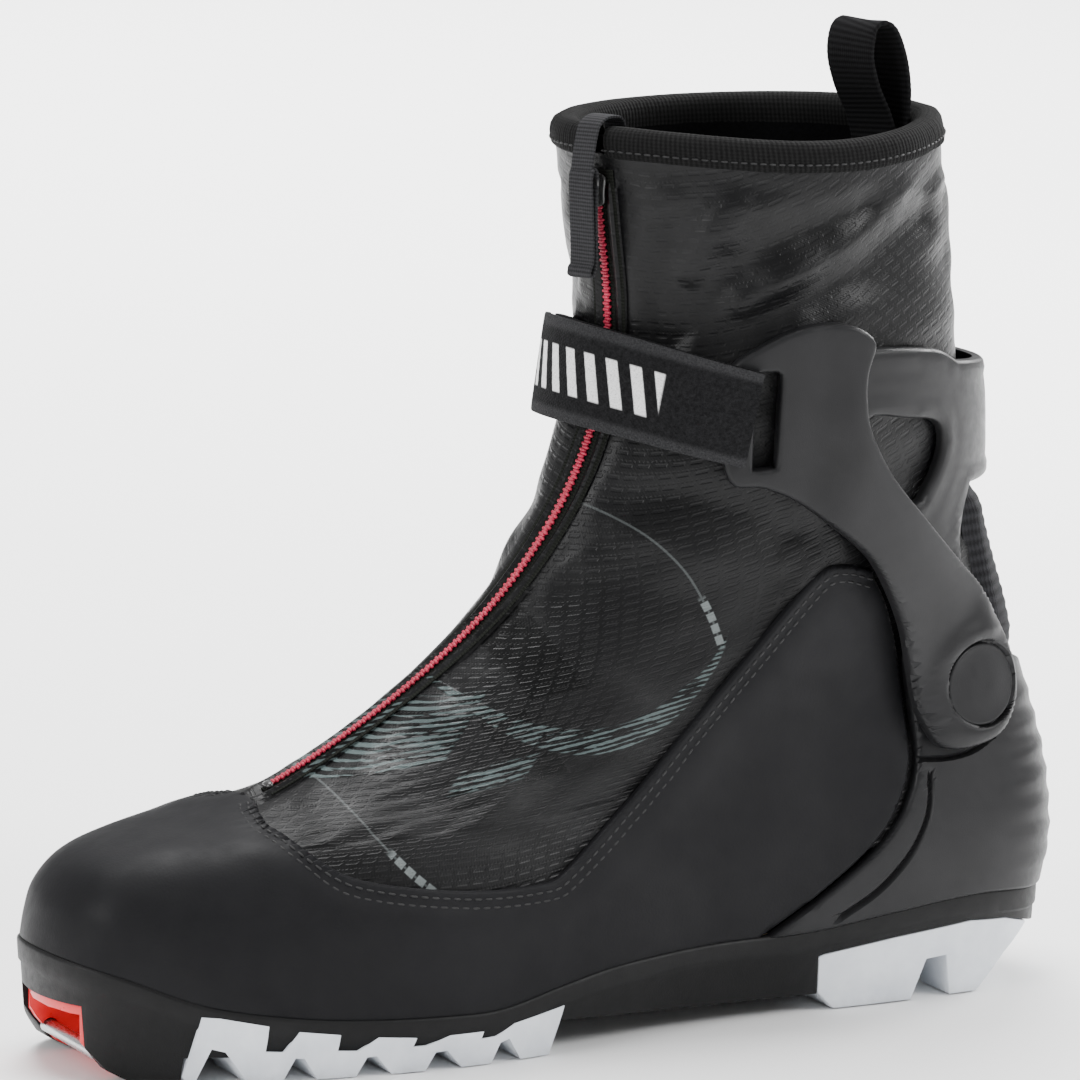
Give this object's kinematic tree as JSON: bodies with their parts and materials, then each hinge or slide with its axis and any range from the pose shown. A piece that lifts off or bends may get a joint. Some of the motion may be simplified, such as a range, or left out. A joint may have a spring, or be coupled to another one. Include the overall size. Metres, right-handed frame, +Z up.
{
  "type": "cross country ski boot",
  "caption": "Skate-style cross-country ski boot: zipped softshell upper, hinged plastic cuff with a hook-and-loop strap, grooved sole and toe bar.",
  "frame": {"origin": "centre of the boot's plan at the ground, the treads' lowest faces at z = 0", "axes": "toe towards -X, heel towards +X, lateral (outer) side of this left boot towards -Y, +Z up"},
  "size_m": [0.301, 0.1016, 0.2668],
  "materials": {
    "sole_plastic": "matte black moulded TPU",
    "tread_rubber": "pale grey-white rubber",
    "red_insert": "bright red satin plastic",
    "steel": "ground steel",
    "board": "pressed fibre board",
    "footbed_foam": "fabric-faced foam",
    "softshell": "near-black woven softshell with a fine embossed dash pattern",
    "lining": "brushed fleece lining",
    "overlay": "smooth matte charcoal synthetic leather, double stitched",
    "cuff_plastic": "matte dark grey nylon",
    "zip_tape": "black woven zip tape",
    "zip_coil": "crimson coil",
    "rib_panel": "ribbed stretch panel",
    "binding": "black bound edge tape",
    "webbing": "black ribbed webbing",
    "strap_webbing": "charcoal webbing with a printed band of slanted bars",
    "hook_tape": "black hook tape",
    "slider_metal": "black enamelled metal"
  },
  "bodies": {
    "boot": {"outsole_chassis": "sole_plastic", "forefoot_tread_lateral": "tread_rubber", "forefoot_tread_middle": "tread_rubber", "forefoot_tread_medial": "tread_rubber", "heel_tread": "tread_rubber", "toe_insert": "red_insert", "toe_bar": "steel", "steel_shank": "steel", "lasting_board": "board", "footbed": "footbed_foam", "softshell_vamp": "softshell", "inner_bootie": "lining", "tongue": "lining", "toe_rand": "overlay", "heel_counter": "cuff_plastic", "lateral_pivot_post": "steel", "medial_pivot_post": "steel", "zip_tape_lower": "zip_tape", "zip_coil_lower": "zip_coil", "ankle_gusset": "softshell", "zip_ankle_section": "zip_coil", "achilles_flex_panel": "rib_panel"},
    "cuff": {"collar_gaiter": "softshell", "collar_lining": "lining", "collar_binding": "binding", "heel_pull_loop": "webbing", "lateral_cuff_arm": "cuff_plastic", "medial_cuff_arm": "cuff_plastic", "rear_cuff_spoiler": "cuff_plastic", "lateral_pivot_cap": "cuff_plastic", "medial_pivot_cap": "cuff_plastic", "zip_tape_upper": "zip_tape", "zip_coil_upper": "zip_coil", "strap_base": "webbing", "strap_rivet": "steel"},
    "zip_slider": {"zip_slider": "slider_metal"},
    "zip_pull": {"zip_puller": "slider_metal", "zip_pull_tab": "webbing"},
    "strap_flap": {"strap_flap": "strap_webbing", "strap_hook_patch": "hook_tape"}
  },
  "joints": [
    {"name": "cuff_flex", "type": "hinge", "parent": "boot", "child": "cuff", "pos_m": [0.1138, 0, 0.086], "axis": [0, -1, 0], "range_deg": [-5, 14], "stiffness_Nm_per_rad": 25, "springref_deg": -0.46, "deforming": ["ankle_gusset", "zip_ankle_section", "achilles_flex_panel"]},
    {"name": "zip_slide", "type": "slide", "parent": "cuff", "child": "zip_slider", "axis": [0.1105, 0.0109, -0.9938], "range_m": [0, 0.012]},
    {"name": "zip_pull_swing", "type": "hinge", "parent": "zip_slider", "child": "zip_pull", "pos_m": [0.0031, -0.01454, 0.22929], "axis": [-0.3544, 0.9351, 0], "range_deg": [0, 100]},
    {"name": "strap_peel", "type": "hinge", "parent": "cuff", "child": "strap_flap", "pos_m": [0.04082, -0.04641, 0.16599], "axis": [0.1643, -0.0695, 0.984], "range_deg": [0, 100]}
  ]
}
